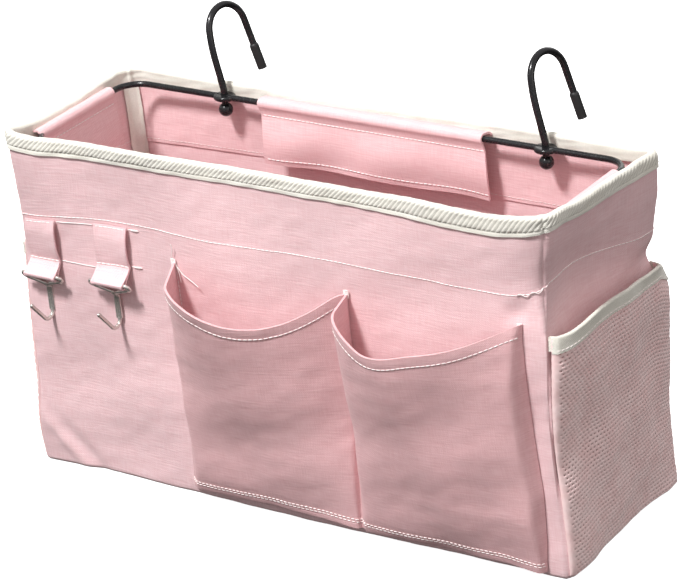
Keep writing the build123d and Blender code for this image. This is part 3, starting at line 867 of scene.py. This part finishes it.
# The pocket strip takes the canvas copy with painted shade.
settle(piece, CANVAS_POCKETS_SHADED, "canvas", "front_pocket_strip")
pocket_face = pocket_p + grid_normals(pocket_p, False) * 0.72


def pocket_line(heights):
    """A line on the pocket cloth's face, with a height for each of its columns."""
    return np.array(
        [
            [np.interp(height, pocket_z[:, c], pocket_face[:, c, k]) for k in range(3)]
            for c, height in enumerate(heights)
        ]
    )


# ---- the mesh pockets on the ends, with real holes, and their bound mouths ----
MESH_BOX = node_box("mesh_pocket_right")
MESH_LOW, MESH_HIGH = MESH_BOX[0][2], MESH_BOX[1][2]
MESH_HALF = MESH_BOX[1][1] + 3.4  # it is caught in the corner seams
MESH_LEAN = 0.35  # the mouth stands out further towards the back
LEFT_MESH_FULL = 0.5  # the left pocket lies flatter than the right one
MESH_THICK = 1.0
HOLE_ACROSS, HOLE_UP, HOLE_ROUND, HOLE_SIDES = 3.0, 2.6, 0.21, 8


def mesh_bow(y):
    """0 at the sewn edges of a mesh pocket and 1 across most of it."""
    return np.sqrt(np.clip(1 - (np.abs(y) / (MESH_HALF + 0.5)) ** 6, 0, 1))


def mesh_stand(side, y, z):
    """How far a mesh pocket stands off the end wall."""
    share = np.clip((z - MESH_LOW) / (MESH_HIGH - MESH_LOW), 0, 1.05)
    bow = mesh_bow(y)
    lean = 1.0 + MESH_LEAN * y / MESH_HALF
    full = 1.0 if side > 0 else LEFT_MESH_FULL
    return 0.6 + full * (1.2 + 9.5 * share**1.2) * bow * lean + 0.4 * MID(y + 500, z) * bow


def mesh_mouth(y):
    """Height of a mesh pocket's mouth across the end."""
    t = y / MESH_HALF
    return MESH_HIGH - 0.5 + 6.5 * smooth(t, -0.95, -0.4) - 10.0 * smooth(t, 0.6, 1.0)


def mesh_place(side, y, z):
    """Points on a mesh pocket, which doesn't follow the right wall's sag and lift behind it."""
    y, z = np.broadcast_arrays(y, z)
    wall = "right" if side > 0 else "left"
    place = skin(wall, np.clip(side * y / MESH_HALF, -1, 1), z)[0]
    place[..., 0] += side * mesh_stand(side, y, z)
    if side > 0:
        place[..., 0] -= hump(y, z, *RIGHT_SAG) * mesh_bow(y)
        place[..., 2] -= hump(y, z, *RIGHT_LIFT) * mesh_bow(y)
    return place


def mesh_net(rows, cols):
    """Points and faces of a net, in cells. Odd rows are shifted by half a cell."""
    index, verts, faces = {}, [], []

    def vertex(u, w):
        key = (round(u * 4), round(w * 4))
        if key not in index:
            index[key] = len(verts)
            verts.append((u, w))
        return index[key]

    for r in range(rows):
        shift = 0.5 * (r % 2)
        for c in range(cols + (1 if shift else 0)):
            left, right = max(0.0, c - shift), min(float(cols), c + 1 - shift)
            mid = (left + right) / 2
            foot = [(left, r), (mid, r), (right, r), (right, r + 0.5)]
            head = [(right, r + 1), (mid, r + 1), (left, r + 1), (left, r + 0.5)]
            if right - left < 1:  # a half cell at a row's end
                faces.append([vertex(*q) for q in (foot[0], *foot[2:], head[0], *head[2:])])
                continue
            edge = [vertex(*q) for q in foot + head]
            if left < 1 or right > cols - 1:  # no holes in the sewn edges
                faces.append(edge)
                continue
            hole = len(verts)
            for k in range(HOLE_SIDES):
                a = (k - 3) * EIGHTH
                verts.append(
                    (mid + HOLE_ROUND * math.cos(a), r + 0.5 + HOLE_ROUND * math.sin(a))
                )
            for k in range(HOLE_SIDES):
                n = (k + 1) % HOLE_SIDES
                faces.append([edge[k], edge[n], hole + n, hole + k])
    return np.array(verts), faces


def mesh_pocket(side, name):
    cols = int(2 * MESH_HALF / HOLE_ACROSS)
    rows = int((MESH_HIGH - MESH_LOW) / HOLE_UP)
    verts, faces = mesh_net(rows, cols)
    y = -MESH_HALF + verts[:, 0] * 2 * MESH_HALF / cols
    z = MESH_LOW + (verts[:, 1] / rows) * (mesh_mouth(y) - MESH_LOW)
    order = faces if side > 0 else [f[::-1] for f in faces]
    piece = new_piece(name, mesh_place(side, y, z), order, np.stack([y, z], -1), sharp=None)
    solid = piece.modifiers.new("thickness", "SOLIDIFY")
    solid.thickness = MESH_THICK * MM
    solid.offset = 0.0
    return piece


BIND_OUT, BIND_COLS, BIND_RIB = 1.05, 100, 2.6
for name, side in {"left": -1, "right": 1}.items():
    piece = mesh_pocket(side, f"mesh_cloth_{name}")
    settle(piece, MESH, "mesh", f"mesh_pocket_{name}")

    y = np.linspace(-MESH_HALF - 0.3, MESH_HALF + 0.3, BIND_COLS)
    turn = np.linspace(0, math.pi, 9)
    lift = np.concatenate([np.full(9, BIND_OUT), BIND_OUT * np.cos(turn), np.full(6, -BIND_OUT)])
    drop = np.concatenate(
        [np.linspace(8.6, 0.9, 9), 0.6 - 0.9 * np.sin(turn), np.linspace(0.9, 7.6, 6)]
    )
    p = mesh_place(side, y[None, :], mesh_mouth(y)[None, :] - drop[:, None])
    p[..., 0] += side * lift[:, None]
    if side < 0:
        p = p[:, ::-1]
    wide = np.linspace(0, 2 * MESH_HALF + 8, BIND_COLS)
    high = measure(np.stack([lift, drop], -1))
    rib = 0.12 * np.cos(TURN * (wide[None, :] - high[:, None]) / BIND_RIB)
    rib = rib + 0.25 * bell(high[:, None] - 0.5, 1.0)
    uv = grid_uv(wide[None, :], high[:, None])
    piece = shell(f"mesh_tape_{name}", p, 0.7, uv, relief=rib)
    settle(piece, TAPE, "tape", f"mesh_binding_{name}")

# ---- the two tabs, each looped round its wire hook's bar ----
BAR_RADIUS, BAR_GAP, TAB_THICK = 1.3, 0.3, 1.0
LOOP_OUTER = BAR_RADIUS + BAR_GAP + TAB_THICK
LOOP_MIDDLE = 2.1  # how far the tab cloth's middle runs from the bar's
TAB_COLS, FLARE_STEPS = 22, 7
tab_ends = []
for name in ("left", "right"):
    low, high = node_box(f"hook_tab_{name}")
    centre, width = (low[0] + high[0]) / 2, high[0] - low[0] - 0.4
    bar_y, bar_z = low[1] + LOOP_OUTER, low[2] + LOOP_OUTER
    top_z, stitch_z = HEM - 1.2, bar_z + 9.5
    a = np.linspace(-width / 2, width / 2, TAB_COLS)

    def loop_row(angle):
        """A line of the tab's cloth at an angle round the bar."""
        depth, height = bar_y + LOOP_MIDDLE * math.cos(angle), bar_z + LOOP_MIDDLE * math.sin(angle)
        return np.stack([centre + a, np.full(TAB_COLS, depth), np.full(TAB_COLS, height)], -1)

    rows = []
    for t in np.linspace(0, 1, 18):
        lift = 1.7 + 1.7 * math.sin(math.pi * t) ** 0.8
        gape = 1.1 * math.sin(math.pi * t) * smooth(a, 0, width / 2)
        rows.append(front_at(centre + a, top_z + (stitch_z - top_z) * t, lift + gape))
    start, front_end = rows[-1], loop_row(math.pi)
    for t in np.linspace(0, 1, FLARE_STEPS)[1:-1]:
        flare = start * (1 - t) + front_end * t
        flare[:, 1] = start[:, 1] + (front_end[:, 1] - start[:, 1]) * t**1.5
        rows.append(flare)
    rows += [loop_row(angle) for angle in np.linspace(math.pi, TURN, 11)]
    back_end = front_at(centre + a, stitch_z, 0.6)
    rows += [loop_row(0) * (1 - t) + back_end * t for t in np.linspace(0, 1, FLARE_STEPS)[1:]]
    p = np.array(rows)
    down = measure(p[:, TAB_COLS // 2])
    to_edge = np.abs(a) - width / 2
    fold = (0.35 * bell(to_edge + 1.2, 1.0) - 0.3 * bell(to_edge + 3.0, 0.6))[None, :]
    uv = grid_uv(a[None, :], down[::-1, None])
    piece = shell(f"tab_cloth_{name}", p[::-1], TAB_THICK, uv, relief=fold)
    settle(piece, CANVAS, "canvas", f"hook_tab_{name}")
    tab_ends.append((centre, width, top_z, stitch_z))

# ---- stitching ----
THREAD_RADIUS = 0.28
HEM_COLS = {"front": 500, "right": 180, "back": 500, "left": 180}
hem_line = ring([HEM + 1.0], [0.15], HEM_COLS)[0][0]
inner_line = ring([HEM + 1.0], [-(CLOTH + FACING + 0.35)], HEM_COLS)[0][0]
hem_parts = stitches(hem_line, pitch=3.1, length=2.9, radius=0.33)
hem_parts += stitches(inner_line, pitch=3.1, length=2.6, radius=0.16)
settle(join("stitch_hem", hem_parts), THREAD, "tape")

pocket_parts = stitches(pocket_line(pocket_z[-1] - 6.6), pitch=3.2, length=2.8, radius=0.4)
for height in (4.2, 6.0):
    line = pocket_line(pocket_z[0] + height)
    pocket_parts += stitches(line, pitch=3.0, length=2.3, radius=0.34)
seam_z = np.linspace(6, 158.0, 60)
for x_seam in (-71.2, 174.8):
    line = front_at(np.full(len(seam_z), x_seam), seam_z, 1.0)
    pocket_parts += stitches(line, pitch=3.0, length=2.5, radius=0.32)
BAR_TACK = np.array([-1.9, 0.0, 1.9])  # the ends and middle of one thread of a bar tack
for x_bar in (-73.0, 174.0, 54.0):
    for k in range(7):
        row = front_at(x_bar + BAR_TACK, 156.0 + 0.75 * k, 1.3)
        pocket_parts.append(tube(row, np.array([0.2, 0.5, 0.2])))
settle(join("stitch_pockets", pocket_parts), THREAD, "tape")

# Each tab is sewn down at two heights. The thread runs on to the right of it, and past the
# right tab it ends in a bar tack.
tab_parts = []
for tab, reach, tacked in zip(tab_ends, (27.0, 8.0), (False, True)):
    centre, width, top_z, stitch_z = tab
    for z_line, lift in ((top_z - 1.2, 2.5), (stitch_z, 2.6)):
        xx = np.linspace(centre - width / 2, centre + width / 2, 30)
        tab_parts += stitches(front_at(xx, z_line, lift), pitch=3.4, length=3.0, radius=0.42)
        xx = np.linspace(centre + width / 2 + 0.3, centre + width / 2 + reach, 30)
        thread = front_at(xx, z_line - 0.2 - 0.01 * (xx - centre), 0.25)
        tab_parts.append(tube(thread, THREAD_RADIUS))
        if tacked:
            tack = front_at(np.array([xx[0] + 2, xx[0] + 5, xx[-1]]), z_line - 0.3, 0.55)
            tab_parts.append(tube(tack, np.array([0.3, 0.65, 0.3])))
settle(join("stitch_tabs", tab_parts), THREAD, "tape")

sleeve_parts = []
for line in sleeve_lines:
    sleeve_parts += stitches(line, pitch=3.2, length=2.7, radius=0.34)
settle(join("stitch_sleeves", sleeve_parts), THREAD, "tape")

tape_parts = []
for side in (-1, 1):
    y = np.linspace(-MESH_HALF + 1, MESH_HALF - 1, 120)
    line = mesh_place(side, y, mesh_mouth(y) - 7.0)
    line[:, 0] += side * (BIND_OUT + 0.5)
    tape_parts += stitches(line, pitch=3.0, length=2.4, radius=0.3)
settle(join("stitch_mesh_tapes", tape_parts), THREAD, "tape")


# ---- loose thread ends ----
def strand(points):
    """A thread through points, with its bends softened."""
    points = np.array(points, float)
    t = np.linspace(0, 1, len(points))
    fine = np.linspace(0, 1, 24)
    line = np.stack([np.interp(fine, t, points[:, k]) for k in range(3)], -1)
    soften(line, 6)
    return tube(line, THREAD_RADIUS)


def on_front(pairs):
    """Points over the front at places (x, z), each a little further off it."""
    return [front_at(x, z, 0.8 + 0.6 * k) for k, (x, z) in enumerate(pairs)]


threads = [
    strand(on_front([(-73, 158), (-73.4, 163), (-71.8, 167.5), (-72.4, 171)])),
    strand(on_front([(-71, 156), (-66, 151), (-60, 149), (-54, 146)])),
    strand(on_front([(-72, 159), (-69, 152), (-68, 146)])),
    strand([front_at(172 + 3 * k, 177 + 2.2 * math.sin(k * 2.1), 0.9) for k in range(7)]),
]
settle(join("loose_threads", threads), THREAD, "tape")

# ---- metal, rubber and board kept from the CAD ----
for side in ("left", "right"):
    paint(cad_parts[f"hanger_hook_{side}"], BLACK)
    paint(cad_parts[f"hook_ball_{side}"], BLACK)
    paint(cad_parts[f"hook_cap_{side}"], RUBBER)
    paint(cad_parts[f"wire_hook_{side}"], CHROME)
paint(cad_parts["wire_frame"], BLACK)
paint(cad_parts["base_board"], BOARD)


# ---- floor and light ----
LIGHT_AIM = Vector((0, 0, 0.1))


def add_light(name, azimuth, elevation, distance, size, power, colour=(1, 1, 1)):
    """A square area light that faces the bag."""
    back = way_to(azimuth, elevation)
    light = bpy.data.lights.new(name, "AREA")
    light.size, light.energy, light.color = size, power, colour
    lamp = bpy.data.objects.new(name, light)
    bpy.context.scene.collection.objects.link(lamp)
    lamp.rotation_mode = "QUATERNION"
    lamp.location = LIGHT_AIM + back * distance
    lamp.rotation_quaternion = (-back).to_track_quat("-Z", "Y")


floor_mesh = bpy.data.meshes.new("floor")
floor_mesh.from_pydata([(-9, -9, 0), (9, -9, 0), (9, 9, 0), (-9, 9, 0)], [], [(0, 1, 2, 3)])
floor = bpy.data.objects.new("floor", floor_mesh)
bpy.context.scene.collection.objects.link(floor)
floor.location.z = -0.0003
g = Graph("floor_pale")
pale = g.mix(g.noise(g.solid(30), 3, 0.5), (0.9, 0.9, 0.9), (0.93, 0.93, 0.93))
floor_mesh.materials.append(
    g.finish(pale, 0.9, Emission_Color=(1, 1, 1, 1), Emission_Strength=0.9)
)
# The floor stays white, but neither lights the bag from below nor shows in its bright wires.
floor.visible_diffuse = False
floor.visible_glossy = False

# A soft sky over the bag, darker below it, so that cloth which hangs forward is in shade.
world = bpy.data.worlds.new("world")
bpy.context.scene.world = world
world.use_nodes = True
sky, wires = world.node_tree.nodes, world.node_tree.links
way = sky.new("ShaderNodeTexCoord")
axes = sky.new("ShaderNodeSeparateXYZ")
level = sky.new("ShaderNodeMapRange")
for key, value in {"From Min": -0.25, "From Max": 0.35, "To Min": 0.07, "To Max": 0.66}.items():
    level.inputs[key].default_value = value
wires.new(way.outputs["Generated"], axes.inputs[0])
wires.new(axes.outputs[2], level.inputs["Value"])
wires.new(level.outputs[0], sky["Background"].inputs[1])
sky["Background"].inputs[0].default_value = (1, 0.97, 0.96, 1)
add_light("key", -16, 58, 3.0, 0.45, 104)
add_light("fill_right", 82, 25, 3.0, 1.5, 9, (1.0, 0.93, 0.91))
add_light("fill_back", 190, 12, 3.0, 2.0, 24)
